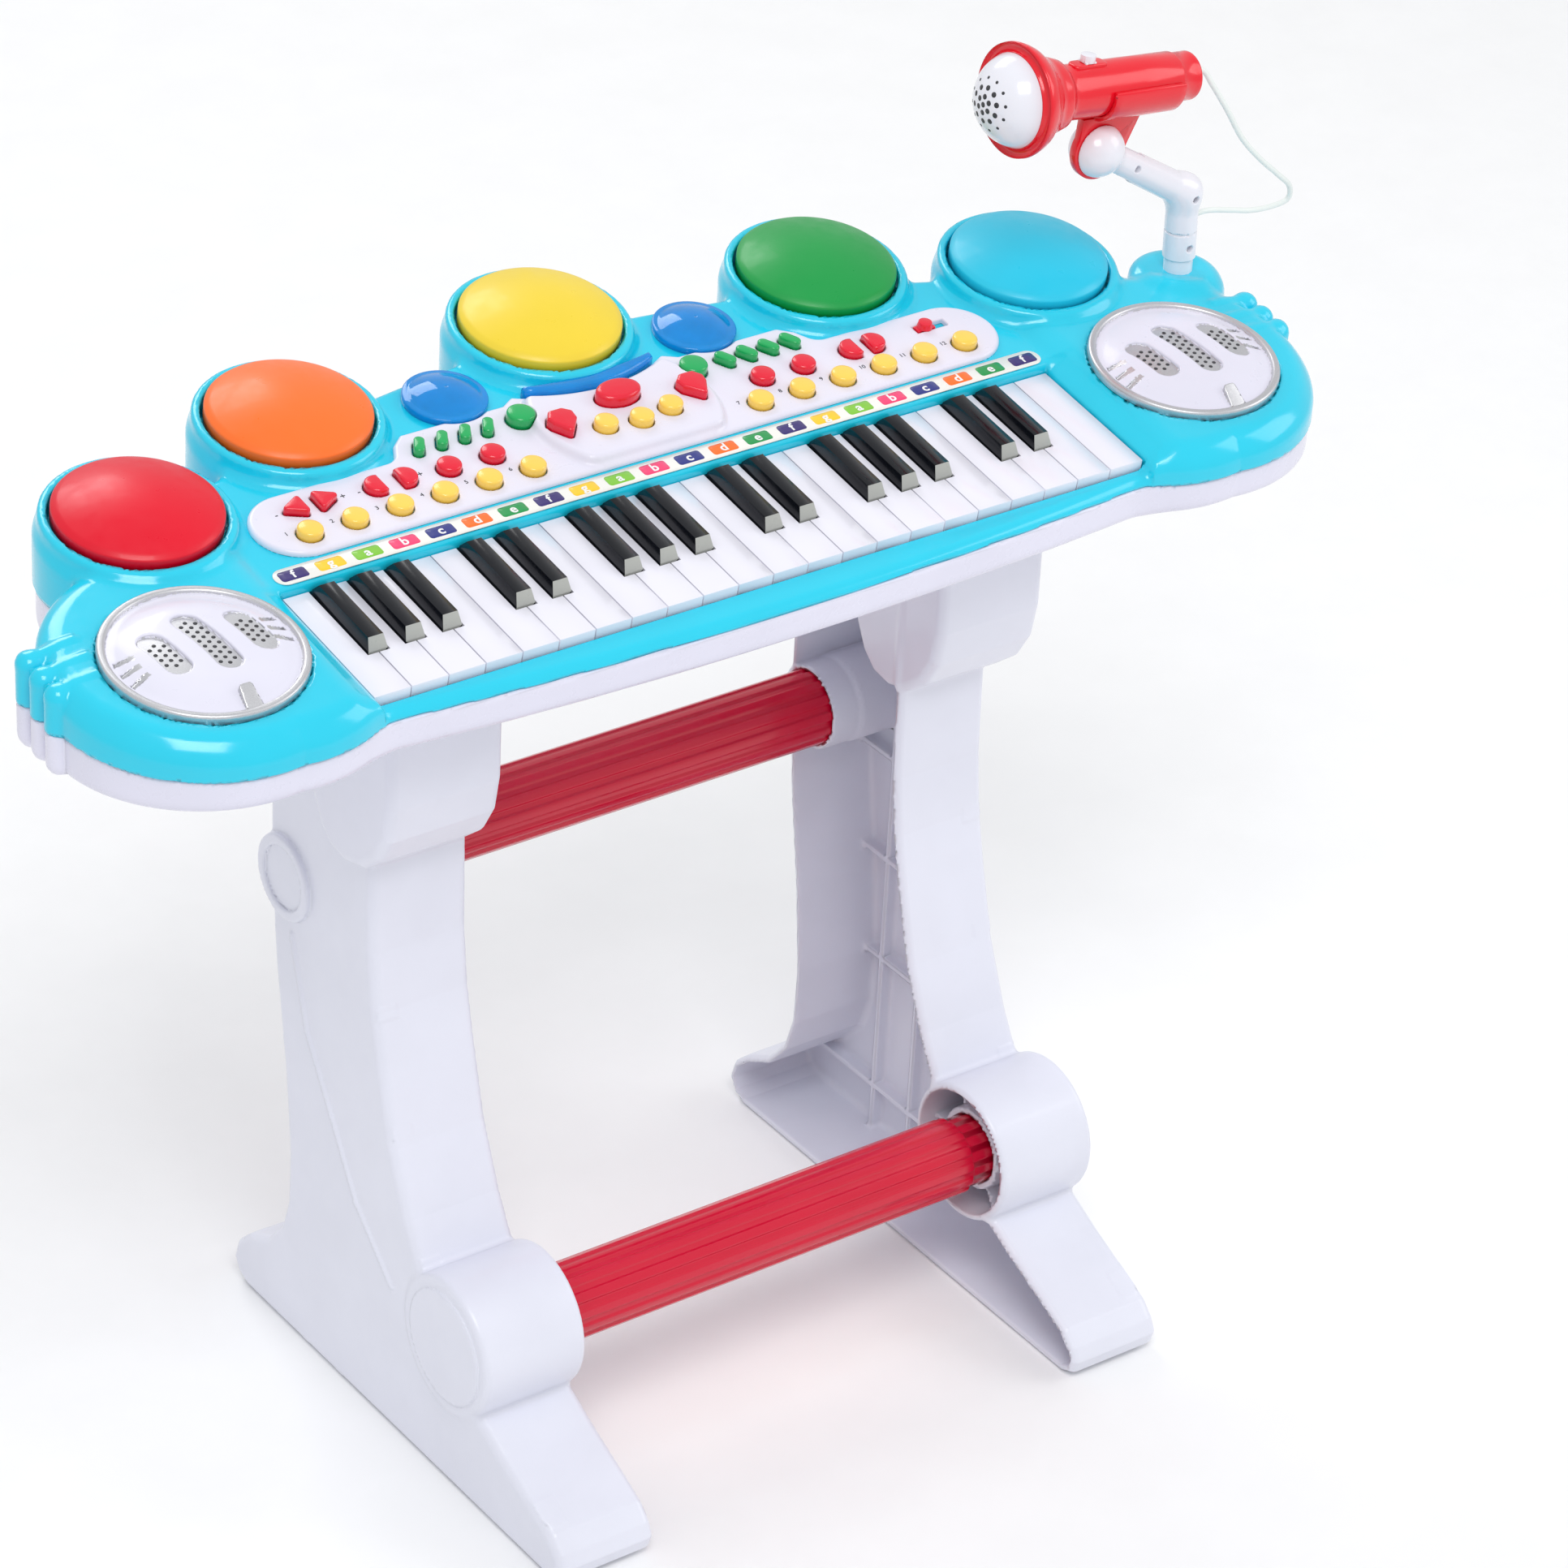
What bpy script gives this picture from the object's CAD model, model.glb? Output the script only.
import math

import bpy
import numpy as np
from mathutils import Matrix, Vector


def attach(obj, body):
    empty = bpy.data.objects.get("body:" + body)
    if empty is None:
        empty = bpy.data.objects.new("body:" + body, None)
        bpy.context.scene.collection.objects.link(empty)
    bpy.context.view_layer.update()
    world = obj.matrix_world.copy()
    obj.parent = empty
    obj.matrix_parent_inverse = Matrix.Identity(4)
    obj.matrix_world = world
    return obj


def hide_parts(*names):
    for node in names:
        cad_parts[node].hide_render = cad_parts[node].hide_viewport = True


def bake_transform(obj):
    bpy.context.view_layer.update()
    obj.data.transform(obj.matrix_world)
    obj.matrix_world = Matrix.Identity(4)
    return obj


# Looks for the toy keyboard. Shapes are worked out in millimetres in one of two frames:
# the case frame (level, zero at the front edge of the white keys) and the deck frame,
# which is the case frame turned by TILT about X, so that the key tops are its zero plane.

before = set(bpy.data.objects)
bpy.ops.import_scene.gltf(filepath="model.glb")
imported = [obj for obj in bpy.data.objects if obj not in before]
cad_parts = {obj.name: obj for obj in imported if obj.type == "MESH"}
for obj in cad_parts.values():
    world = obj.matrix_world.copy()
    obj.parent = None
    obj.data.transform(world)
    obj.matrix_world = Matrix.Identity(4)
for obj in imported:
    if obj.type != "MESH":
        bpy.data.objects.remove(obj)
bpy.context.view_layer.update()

MM = 0.001
TILT = math.radians(8.7)
CT, ST = math.cos(TILT), math.sin(TILT)
KEY_ORIGIN = np.array([0.0, -54.2, 370.0])
PITCH = 16.5
BAY = 182.1
SPEAKER = (231.5, 39.8)
LAMP = (59.7, 144.6)
MAST = (272.0, 93.5)
PADS = ((-212.2, 122.0), (-126.3, 154.0), (0.0, 168.5), (126.3, 154.0), (212.2, 122.0))
PAD_R = 33.2
BUTTON_X, BUTTON_Y, BUTTON_PITCH = 54.2, 89.1, 20.3
RED_X, RED_Y = (64.4, 84.5), 102.6
GREEN_BUTTON = (41.2, 118.5)
PILL_X, PILL_Y, PILL_PITCH = 56.7, 118.3, 10.6
ARROWS = ((-153.7, 0), (-139.3, 180))
ARROW_Y = 104.2
MOON_Y = 103.6
STOP_Y, STOP_SIZE = 112.0, (9.9, 6.6)
TEAR = (30.9, 104.6)
BLACK_AT = (1, 2, 3, 5, 6, 8, 9, 10, 12, 13, 15, 16, 17, 19, 20)
LOW_BAR = (-11.0, -303.0)
HIGH_BAR = (112.0, -149.0)
MIC_RING = np.array([177.6, 93.5, 120.9])
MIC_PITCH = math.radians(6.07)
KNUCKLE = np.array([222.9, 93.5, 88.7])
BEND = np.array([271.5, 93.5, 58.0])
FLOOR_Z = -23.0
DETAIL = 1.0


# ---------- frames ----------
def from_case(points):
    """Case-frame millimetres to metres in the model's frame."""
    return (np.asarray(points, float).reshape(-1, 3) + KEY_ORIGIN) * MM


def tilted(vectors):
    """Deck-frame vectors turned into the case frame."""
    v = np.asarray(vectors, float).reshape(-1, 3)
    return np.stack([v[:, 0], v[:, 1] * CT - v[:, 2] * ST, v[:, 1] * ST + v[:, 2] * CT], 1)


def from_deck(points):
    return from_case(tilted(points))


def from_mic(points):
    """Microphone frame: z runs from the bell to the tail, x down."""
    p = np.asarray(points, float).reshape(-1, 3)
    turn = np.array(Matrix.Rotation(math.pi / 2 + MIC_PITCH, 3, "Y"))
    return from_case(p @ turn.T + MIC_RING)


# ---------- materials ----------
def new_material(name):
    mat = bpy.data.materials.new(name)
    mat.use_nodes = True
    tree = mat.node_tree
    return mat, tree, tree.nodes["Principled BSDF"]


def noise(tree, scale, detail, source):
    node = tree.nodes.new("ShaderNodeTexNoise")
    node.inputs["Scale"].default_value = scale
    node.inputs["Detail"].default_value = detail
    tree.links.new(source.outputs["Object"], node.inputs["Vector"])
    return node


def tint(tree, node, color, spread, socket):
    """Drives a colour socket between a slightly darker and a slightly lighter tone."""
    ramp = tree.nodes.new("ShaderNodeValToRGB")
    ramp.color_ramp.elements[0].position = 0.3
    ramp.color_ramp.elements[1].position = 0.7
    ramp.color_ramp.elements[0].color = [c * (1 - spread) for c in color] + [1]
    ramp.color_ramp.elements[1].color = [min(1, c * (1 + spread)) for c in color] + [1]
    tree.links.new(node.outputs["Fac"], ramp.inputs["Fac"])
    tree.links.new(ramp.outputs["Color"], socket)
    return ramp


def spread_roughness(tree, node, low, high, shader):
    span = tree.nodes.new("ShaderNodeMapRange")
    span.inputs["From Min"].default_value = 0.3
    span.inputs["From Max"].default_value = 0.7
    span.inputs["To Min"].default_value = low
    span.inputs["To Max"].default_value = high
    tree.links.new(node.outputs["Fac"], span.inputs["Value"])
    tree.links.new(span.outputs["Result"], shader.inputs["Roughness"])


def add_bump(tree, node, strength, distance, shader):
    bump = tree.nodes.new("ShaderNodeBump")
    bump.inputs["Strength"].default_value = strength
    bump.inputs["Distance"].default_value = distance
    tree.links.new(node.outputs["Fac"], bump.inputs["Height"])
    tree.links.new(bump.outputs["Normal"], shader.inputs["Normal"])


def plastic(name, color, rough=0.22, grain=0.10, grain_scale=900, spread=0.025, glow=0.0, coat=0.25,
            shine=0.5):
    """Moulded plastic: faint tone drift, uneven gloss and a fine moulding grain."""
    mat, tree, shader = new_material(name)
    coords = tree.nodes.new("ShaderNodeTexCoord")
    broad = noise(tree, 22, 3, coords)
    smear = noise(tree, 140, 5, coords)
    fine = noise(tree, grain_scale, 3, coords)
    tint(tree, broad, color, spread, shader.inputs["Base Color"])
    spread_roughness(tree, smear, rough * 0.8, rough * 1.3, shader)
    add_bump(tree, fine, grain, 0.0004, shader)
    shader.inputs["Coat Weight"].default_value = coat
    shader.inputs["Coat Roughness"].default_value = 0.08
    shader.inputs["IOR"].default_value = 1.5
    shader.inputs["Specular IOR Level"].default_value = shine
    if glow:
        shader.inputs["Subsurface Weight"].default_value = glow
        shader.inputs["Subsurface Radius"].default_value = (0.006, 0.006, 0.006)
        shader.inputs["Subsurface Scale"].default_value = 1.0
    return mat


def metal_paint(name, color, rough=0.34):
    """Silver paint with fine flake sparkle."""
    mat, tree, shader = new_material(name)
    coords = tree.nodes.new("ShaderNodeTexCoord")
    flake = noise(tree, 3200, 2, coords)
    cloud = noise(tree, 60, 4, coords)
    tint(tree, flake, color, 0.10, shader.inputs["Base Color"])
    spread_roughness(tree, cloud, rough * 0.8, rough * 1.2, shader)
    add_bump(tree, flake, 0.12, 0.0002, shader)
    shader.inputs["Metallic"].default_value = 0.75
    return mat


def tinted_clear(name, color):
    """Clear coloured plastic with faint moulding swirl."""
    mat, tree, shader = new_material(name)
    coords = tree.nodes.new("ShaderNodeTexCoord")
    swirl = noise(tree, 90, 4, coords)
    tint(tree, swirl, color, 0.08, shader.inputs["Base Color"])
    spread_roughness(tree, swirl, 0.03, 0.09, shader)
    add_bump(tree, swirl, 0.05, 0.001, shader)
    shader.inputs["Transmission Weight"].default_value = 0.35
    shader.inputs["IOR"].default_value = 1.45
    shader.inputs["Coat Weight"].default_value = 0.2
    return mat


def board_green(name):
    mat, tree, shader = new_material(name)
    coords = tree.nodes.new("ShaderNodeTexCoord")
    cells = tree.nodes.new("ShaderNodeTexVoronoi")
    cells.inputs["Scale"].default_value = 260
    tree.links.new(coords.outputs["Object"], cells.inputs["Vector"])
    ramp = tree.nodes.new("ShaderNodeValToRGB")
    ramp.color_ramp.elements[0].color = (0.02, 0.14, 0.05, 1)
    ramp.color_ramp.elements[1].color = (0.05, 0.30, 0.12, 1)
    tree.links.new(cells.outputs["Distance"], ramp.inputs["Fac"])
    tree.links.new(ramp.outputs["Color"], shader.inputs["Base Color"])
    shader.inputs["Roughness"].default_value = 0.5
    return mat


cyan = plastic("cyan_plastic", (0.012, 0.60, 0.80), 0.16, 0.06, glow=0.05)
shell_white = plastic("shell_white", (0.74, 0.73, 0.85), 0.28, 0.02)
pearl = plastic("pearl_panel", (0.77, 0.75, 0.86), 0.32, 0.06, 1500)
key_white = plastic("key_white", (0.82, 0.81, 0.89), 0.20, 0.05)
key_black = plastic("key_black", (0.004, 0.005, 0.008), 0.20, 0.03, spread=0.2, coat=0.1, shine=0.35)
key_front = plastic("key_front_grey", (0.42, 0.43, 0.40), 0.3, 0.06)
leg_white = plastic("leg_white", (0.76, 0.77, 0.86), 0.36, 0.06, 700)
bar_red = plastic("bar_red", (0.62, 0.0, 0.028), 0.17, 0.015)
button_red = plastic("button_red", (0.78, 0.005, 0.03), 0.2, 0.06)
button_yellow = plastic("button_yellow", (0.98, 0.64, 0.10), 0.2, 0.06)
button_green = plastic("button_green", (0.006, 0.40, 0.10), 0.2, 0.06)
mic_red = plastic("mic_red", (0.80, 0.003, 0.016), 0.18, 0.05)
mic_white = plastic("mic_white", (0.82, 0.82, 0.88), 0.18, 0.04)
cord_white = plastic("cord_white", (0.80, 0.85, 0.82), 0.4, 0.2, 2500)
silver = metal_paint("silver_paint", (0.62, 0.62, 0.64))
grille_white = plastic("grille_satin", (0.75, 0.74, 0.85), 0.32, 0.05)
hole_dark = plastic("hole_dark", (0.03, 0.03, 0.035), 0.6, 0.2)
print_ink = plastic("print_ink", (0.02, 0.02, 0.025), 0.5, 0.1)
strip_cream = plastic("strip_cream", (0.86, 0.85, 0.80), 0.3, 0.08)
lamp_blue = tinted_clear("lamp_blue", (0.0, 0.34, 0.90))
lamp_core = plastic("lamp_core", (0.75, 0.85, 0.95), 0.3, 0.1)
circuit = board_green("circuit_board")
PAD_PAINT = (
    plastic("pad_red", (0.74, 0.0, 0.018), 0.34, 0.02, 1300, coat=0.08, shine=0.4),
    plastic("pad_orange", (0.98, 0.17, 0.02), 0.34, 0.02, 1300, coat=0.08, shine=0.4),
    plastic("pad_yellow", (0.86, 0.64, 0.04), 0.34, 0.02, 1300, coat=0.08, shine=0.4),
    plastic("pad_green", (0.004, 0.33, 0.06), 0.34, 0.02, 1300, coat=0.08, shine=0.4),
    plastic("pad_blue", (0.015, 0.56, 0.78), 0.34, 0.02, 1300, coat=0.08, shine=0.4),
)


# ---------- mesh making ----------
def build(name, points, faces, material, body, node=None, normals=None):
    """Makes a smooth-shaded piece from points in metres and hangs it on a body."""
    mesh = bpy.data.meshes.new(name)
    mesh.from_pydata([tuple(p) for p in points], [], [tuple(f) for f in faces])
    mesh.update()
    mesh.polygons.foreach_set("use_smooth", [True] * len(mesh.polygons))
    if normals is not None:
        mesh.normals_split_custom_set_from_vertices([tuple(n) for n in normals])
    piece = bpy.data.objects.new(name, mesh)
    bpy.context.scene.collection.objects.link(piece)
    mesh.materials.append(material)
    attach(piece, body)
    if node:
        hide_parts(node)
    return piece


def join(parts):
    """Several (points, faces) as one."""
    points, faces, start = [], [], 0
    for p, f in parts:
        points.append(np.asarray(p, float).reshape(-1, 3))
        faces += [[i + start for i in face] for face in f]
        start += len(points[-1])
    return np.concatenate(points), faces


def rings(loops, cap_start=True, cap_end=True):
    """Skins a list of closed loops that have the same number of points."""
    n = len(loops[0])
    points = np.concatenate([np.asarray(loop, float) for loop in loops])
    faces = []
    for k in range(len(loops) - 1):
        for i in range(n):
            j = (i + 1) % n
            faces.append([k * n + i, k * n + j, (k + 1) * n + j, (k + 1) * n + i])
    if cap_start:
        faces.append(list(range(n))[::-1])
    if cap_end:
        faces.append([(len(loops) - 1) * n + i for i in range(n)])
    return points, faces


def lathe(profile, centre=(0, 0), segments=64):
    """A turned shape about the local z axis from (radius, height) pairs, with closed ends."""
    turn = np.linspace(0, 2 * math.pi, segments, endpoint=False)
    loops = []
    for r, z in profile:
        r = max(r, 0.01)
        x, y = centre[0] + r * np.cos(turn), centre[1] + r * np.sin(turn)
        loops.append(np.stack([x, y, np.full(segments, z)], 1))
    return rings(loops)


def arc(cx, cz, r, start, end, steps):
    """(radius, height) points along a round corner, angles in degrees."""
    a = np.radians(np.linspace(start, end, steps))
    return [(cx + r * math.cos(t), cz + r * math.sin(t)) for t in a]


def cap_from(outline, low, high, corner, steps=5, crown=0.25):
    """A push button: an outline raised from low to high with a rounded top edge."""
    outline = np.asarray(outline, float)
    middle = outline.mean(0)
    size = np.hypot(*(outline - middle).T).min()
    loops = [np.column_stack([outline, np.full(len(outline), low)])]
    for a in np.radians(np.linspace(0, 90, steps)):
        shrink = 1 - corner * (1 - math.cos(a)) / size
        z = high - corner * (1 - math.sin(a))
        loops.append(np.column_stack([middle + (outline - middle) * shrink, np.full(len(outline), z)]))
    for shrink in (0.5, 0.02):
        last = 1 - corner / size
        lift = high + crown * (1 - shrink)
        inner = middle + (outline - middle) * last * shrink
        loops.append(np.column_stack([inner, np.full(len(outline), lift)]))
    return rings(loops)


# ---------- distance fields ----------
def circle(x, y, cx, cy, r):
    return np.hypot(x - cx, y - cy) - r


def both(a, b, r):
    """Overlap of two fields with a round outer edge of radius r."""
    return np.minimum(np.maximum(a, b), -r) + np.hypot(np.maximum(a + r, 0), np.maximum(b + r, 0))


def either(a, b, r):
    """Union of two fields with a fillet of radius r."""
    return np.maximum(np.minimum(a, b), r) - np.hypot(np.maximum(r - a, 0), np.maximum(r - b, 0))


def slab(v, low, high):
    return np.maximum(low - v, v - high)


def polygon(x, y, points):
    """Signed distance to a closed outline, negative inside."""
    pts = np.asarray(points, float)
    best = np.full(np.shape(x), 1e9)
    inside = np.zeros(np.shape(x), bool)
    for (ax, ay), (bx, by) in zip(pts, np.roll(pts, -1, 0)):
        ex, ey = bx - ax, by - ay
        t = np.clip(((x - ax) * ex + (y - ay) * ey) / (ex * ex + ey * ey), 0, 1)
        best = np.minimum(best, (x - ax - t * ex) ** 2 + (y - ay - t * ey) ** 2)
        crosses = ((ay > y) != (by > y)) & (x < ex * (y - ay) / (ey if ey else 1e-9) + ax)
        inside ^= crosses
    return np.where(inside, -1, 1) * np.sqrt(best)


def rod(x, y, z, a, b, r0, r1):
    """A round rod between two points, its radius going from r0 to r1."""
    a, b = np.asarray(a, float), np.asarray(b, float)
    d = b - a
    t = np.clip(((x - a[0]) * d[0] + (y - a[1]) * d[1] + (z - a[2]) * d[2]) / (d @ d), 0, 1)
    away = np.sqrt((x - a[0] - t * d[0]) ** 2 + (y - a[1] - t * d[1]) ** 2 + (z - a[2] - t * d[2]) ** 2)
    return away - (r0 + (r1 - r0) * t)


def net(field, low, high, cell):
    """Points, quads and normals of a field's zero surface, as a surface net pulled onto the field."""
    cell = cell * DETAIL
    axes = [np.arange(a - cell, b + 2 * cell, cell) for a, b in zip(low, high)]
    ys, zs = np.meshgrid(axes[1], axes[2], indexing="ij")
    f = np.stack([field(np.full(ys.shape, x), ys, zs) for x in axes[0]]).astype(np.float32)
    f[np.abs(f) < 1e-5] = 1e-5
    inside = f < 0
    shape = [s - 1 for s in f.shape]
    total = np.zeros(shape + [3], np.float32)
    count = np.zeros(shape, np.float32)
    for axis in range(3):
        others = [k for k in range(3) if k != axis]
        for u in (0, 1):
            for v in (0, 1):
                a = [slice(0, s) for s in shape]
                a[others[0]] = slice(u, shape[others[0]] + u)
                a[others[1]] = slice(v, shape[others[1]] + v)
                b = list(a)
                b[axis] = slice(1, shape[axis] + 1)
                fa, fb = f[tuple(a)], f[tuple(b)]
                cross = inside[tuple(a)] != inside[tuple(b)]
                t = np.where(cross, fa / np.where(cross, fa - fb, 1), 0)
                total[..., axis] += np.where(cross, t, 0)
                total[..., others[0]] += np.where(cross, u, 0)
                total[..., others[1]] += np.where(cross, v, 0)
                count += cross
    live = count > 0
    index = np.full(shape, -1, np.int64)
    index[live] = np.arange(live.sum())
    where = np.argwhere(live)
    points = (where + total[live] / count[live][:, None]) * cell + np.array([a[0] for a in axes])
    quads = []
    for axis in range(3):
        u, v = [(1, 2), (2, 0), (0, 1)][axis]
        sl = [slice(0, s) for s in shape]
        sl[u] = slice(1, shape[u])
        sl[v] = slice(1, shape[v])
        ahead = list(sl)
        ahead[axis] = slice(1, shape[axis] + 1)
        first, second = inside[tuple(sl)], inside[tuple(ahead)]
        spots = np.argwhere(first != second)
        spots[:, u] += 1
        spots[:, v] += 1
        away = first[first != second]
        corners = []
        for du, dv in ((-1, -1), (0, -1), (0, 0), (-1, 0)):
            c = spots.copy()
            c[:, u] += du
            c[:, v] += dv
            corners.append(index[c[:, 0], c[:, 1], c[:, 2]])
        q = np.stack(corners, 1)
        q[~away] = q[~away][:, ::-1]
        quads.append(q)
    quads = np.concatenate(quads)
    for _ in range(3):
        value, slope = field_slope(field, points)
        points = points - np.clip(value, -cell, cell)[:, None] * slope
    return points, quads, field_slope(field, points)[1]


def field_slope(field, p):
    h = 0.15
    value = field(p[:, 0], p[:, 1], p[:, 2])
    slope = np.stack([
        field(p[:, 0] + h, p[:, 1], p[:, 2]) - field(p[:, 0] - h, p[:, 1], p[:, 2]),
        field(p[:, 0], p[:, 1] + h, p[:, 2]) - field(p[:, 0], p[:, 1] - h, p[:, 2]),
        field(p[:, 0], p[:, 1], p[:, 2] + h) - field(p[:, 0], p[:, 1], p[:, 2] - h)], 1)
    return value, slope / np.maximum(np.linalg.norm(slope, axis=1), 1e-6)[:, None]


def keep(shape, test):
    """Drops the faces whose middle fails the test, and the points they leave behind."""
    points, quads, normals = shape
    middle = points[quads].mean(1)
    quads = quads[test(middle)]
    used, back = np.unique(quads, return_inverse=True)
    return points[used], back.reshape(-1, 4), normals[used]


# ---------- the two case halves ----------
def case_outline(x, y):
    side = np.abs(x)
    d = np.minimum(circle(side, y, 229, 44.8, 59.5), circle(side, y, 212, 42.8, 57.5))
    bow = np.maximum(circle(x, y, 0, 1785 - 15.2, 1785), np.maximum(side - 200, y - 72))
    back = np.maximum(circle(x, y, 0, 164.3 - 515, 515), np.maximum(side - 245, 20 - y))
    d = either(either(d, bow, 5), back, 8)
    for px, py in PADS[2:]:
        d = either(d, circle(side, y, px, py * CT - 1.9, 39), 4)
    return either(d, circle(x, y, MAST[0], MAST[1], 20), 8)


def seam(y):
    return -8.3 + 0.0775 * y


def finger_grips(x, y, z, radius, crest):
    """Three upright ribs at each end of the case, each with a ridge that runs in over the lobe."""
    side = np.abs(x)
    zt = z * CT - y * ST
    d = np.full(np.shape(x), 1e3)
    for across in (46.5, 57.0, 67.5):
        post = both(circle(side, y, 288.2, across, radius), zt - crest, 4.4)
        if crest > 0:
            lift = across * math.tan(TILT)
            ridge = rod(side, y, z, (288.0, across, lift + 2.5), (270.0, across, lift + 6.6), 4.3, 2.2)
            post = either(post, ridge, 2)
        d = np.minimum(d, post)
    return d


def upper_field(x, y, z):
    side = np.abs(x)
    yt = y * CT + z * ST
    zt = z * CT - y * ST
    plan = case_outline(x, y)
    body = both(plan, zt + 3.5, 5)
    cheek = np.maximum(plan, 181.9 - side)
    body = np.minimum(body, both(cheek, zt - 1.5, 4))
    body = either(body, both(np.maximum(plan, 65.4 - yt), zt - 4.5, 4), 1.5)
    lobes = np.minimum(circle(side, y, 229, 44.8, 59.5), circle(side, y, 212, 42.8, 57.5))
    slope = zt - 1.0 - (side - 182.5) * 0.85
    lobes = both(both(np.maximum(lobes, 181.9 - side), zt - 8, 9), slope * 0.76, 4)
    body = either(body, lobes, 4)
    for px, py in PADS[2:]:
        taper = 38.8 - 0.1 * np.clip(zt - 2, 0, 12)
        well = both(circle(side, y, px, py * CT - 1.9, 0) - taper, zt - 11.4, 1.8)
        body = either(body, well, 4)
    for px, py in PADS[2:]:
        bore = np.maximum(circle(side, yt, px, py, PAD_R + 1.1), 2.0 - zt)
        body = both(body, -bore, 0.9)
    boss = both(circle(x, y, MAST[0], MAST[1], 15.6), z - 21.5, 3)
    body = either(body, boss, 7)
    body = either(body, finger_grips(x, y, z, 5.2, 6.6), 1.5)
    recess = np.maximum(circle(side, yt, SPEAKER[0], SPEAKER[1], 40.2), 6.6 - zt)
    body = both(body, -recess, 0.8)
    bay = np.maximum(np.maximum(side - BAY, -0.6 - yt), yt - 66.1)
    body = both(body, -bay, 0.7)
    return both(body, (seam(y) - z), 0.9)


def lower_field(x, y, z):
    plan = np.minimum(case_outline(x, y), finger_grips(x, y, z, 5.0, 99))
    edge = 4.5 + 7 * np.clip((y - 40) / 70, 0, 1)
    body = both(plan, FLOOR_Z - z, edge)
    door = np.maximum(np.maximum(np.abs(x) - 44.8, slab(y, 108.7, 154.3)), z + 20)
    body = both(body, -door, 0.6)
    for px, py in ((272.0, 74.0), (172.0, 118.0), (62.0, 160.0)):
        screw = np.maximum(circle(np.abs(x), y, px, py, 3.0), z - (FLOOR_Z + 9))
        body = both(body, -screw, 0.6)
    return both(body, z - seam(y), 0.9)


def make_case():
    box = ((-296, -20, -24), (296, 206, 50))

    def shown(m):
        tilted = m[:, 2] * CT - m[:, 1] * ST
        deep = case_outline(m[:, 0], m[:, 1]) < -3
        under = (tilted < -9) & (np.abs(m[:, 0]) < BAY + 1) & (m[:, 1] > 0)
        return ~(deep & (under | (m[:, 2] < seam(m[:, 1]) + 0.12)))

    points, quads, normals = keep(net(upper_field, *box, 1.55), shown)
    build("case_top", from_case(points), quads, cyan, "keyboard", "upper_case", normals)

    def shown_low(m):
        return (m[:, 2] < seam(m[:, 1]) - 0.12) | (case_outline(m[:, 0], m[:, 1]) > -3)

    points, quads, normals = keep(net(lower_field, box[0], (296, 206, 12), 1.9), shown_low)
    build("case_bottom", from_case(points), quads, shell_white, "keyboard", "lower_case",
          normals)


# ---------- stand ----------
LEG = ((126, -23), (126, -150), (122, -195), (115, -240), (111, -280), (112, -306), (117, -322),
       (128, -335), (143, -343), (152, -351), (155, -360), (151, -367), (144, -370), (-86, -370),
       (-93, -367), (-95, -361), (-92, -355), (-86, -349), (-73, -343), (-50, -333), (-28, -322),
       (-6, -306), (8, -283), (20, -262), (32, -234), (41, -200), (46, -178), (49, -152), (50, -110),
       (50, -23))
BLOCK = ((26, -23), (84.4, -23), (84, -92), (78, -104), (70, -111), (60, -112.5), (47, -109),
         (36, -100), (29, -88), (26, -72))
BEAD = ((108, -174), (96, -214), (77, -244), (58, -275), (31, -300))


def leg_field(x, y, z):
    """The right leg, open on its inner side."""
    side = polygon(y, z, LEG)
    panel = both(side, slab(x, 105, 150), 4.0)
    hollow = both(side + 3.2, x - 146.8, 3)
    body = both(panel, -hollow, 1.3)
    ribs = np.minimum(np.abs(z + 178.8), np.minimum(np.abs(z + 228.8), np.abs(z + 278.8))) - 1.4
    ribs = np.minimum(ribs, np.minimum(np.abs(y - 71.2), np.abs(y - 97.2)) - 1.4)
    ribs = np.minimum(ribs, np.abs(z + 344.8) - 1.4)
    body = either(body, np.maximum(np.maximum(ribs, side + 1), slab(x, 141, 148)), 2)
    block = both(polygon(y, z, BLOCK), slab(x, 105, 157), 4.5)
    body = either(body, block, 3)
    low = circle(y, z, LOW_BAR[0], LOW_BAR[1], 0)
    cup = both(low - 30.5, slab(x, 104, 151.6), 2.6)
    body = either(body, cup, 2.5)
    body = both(body, -np.maximum(low - 27.4, x - 146.8), 0.8)
    socket = np.maximum(low - 18.2, slab(x, 110, 148))
    turn = np.mod(np.arctan2(z - LOW_BAR[1], y - LOW_BAR[0]) + math.pi / 6, math.pi / 3) - math.pi / 6
    reach = np.maximum(np.maximum(15.5 - low, low - 28.5), slab(x, 113, 148))
    fins = np.maximum(np.abs(turn) * low - 1.2, reach)
    body = np.minimum(body, np.minimum(socket, fins))
    body = both(body, -np.maximum(low - 15.05, x - 147), 0.5)
    body = either(body, both(low - 25.0, slab(x, 149, 152.6), 0.7), 0.5)
    high = circle(y, z, HIGH_BAR[0], HIGH_BAR[1], 0)
    disc = both(high - 18.8, slab(x, 120, 152.6), 1.2)
    collar = both(high - 18.5, slab(x, 105.6, 150), 0.8)
    body = either(np.minimum(body, disc), collar, 1.5)
    body = both(body, -np.maximum(high - 15.05, x - 147), 0.5)
    body = both(body, -np.maximum(high - 16.4, x - 121), 0.5)
    body = both(body, -np.maximum(high - 13.8, 151.2 - x), 0.9)
    for (ay, az), (by, bz) in zip(BEAD, BEAD[1:]):
        body = either(body, rod(x, y, z, (149.4, ay, az), (149.4, by, bz), 1.7, 1.7), 0.8)
    return body


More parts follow.
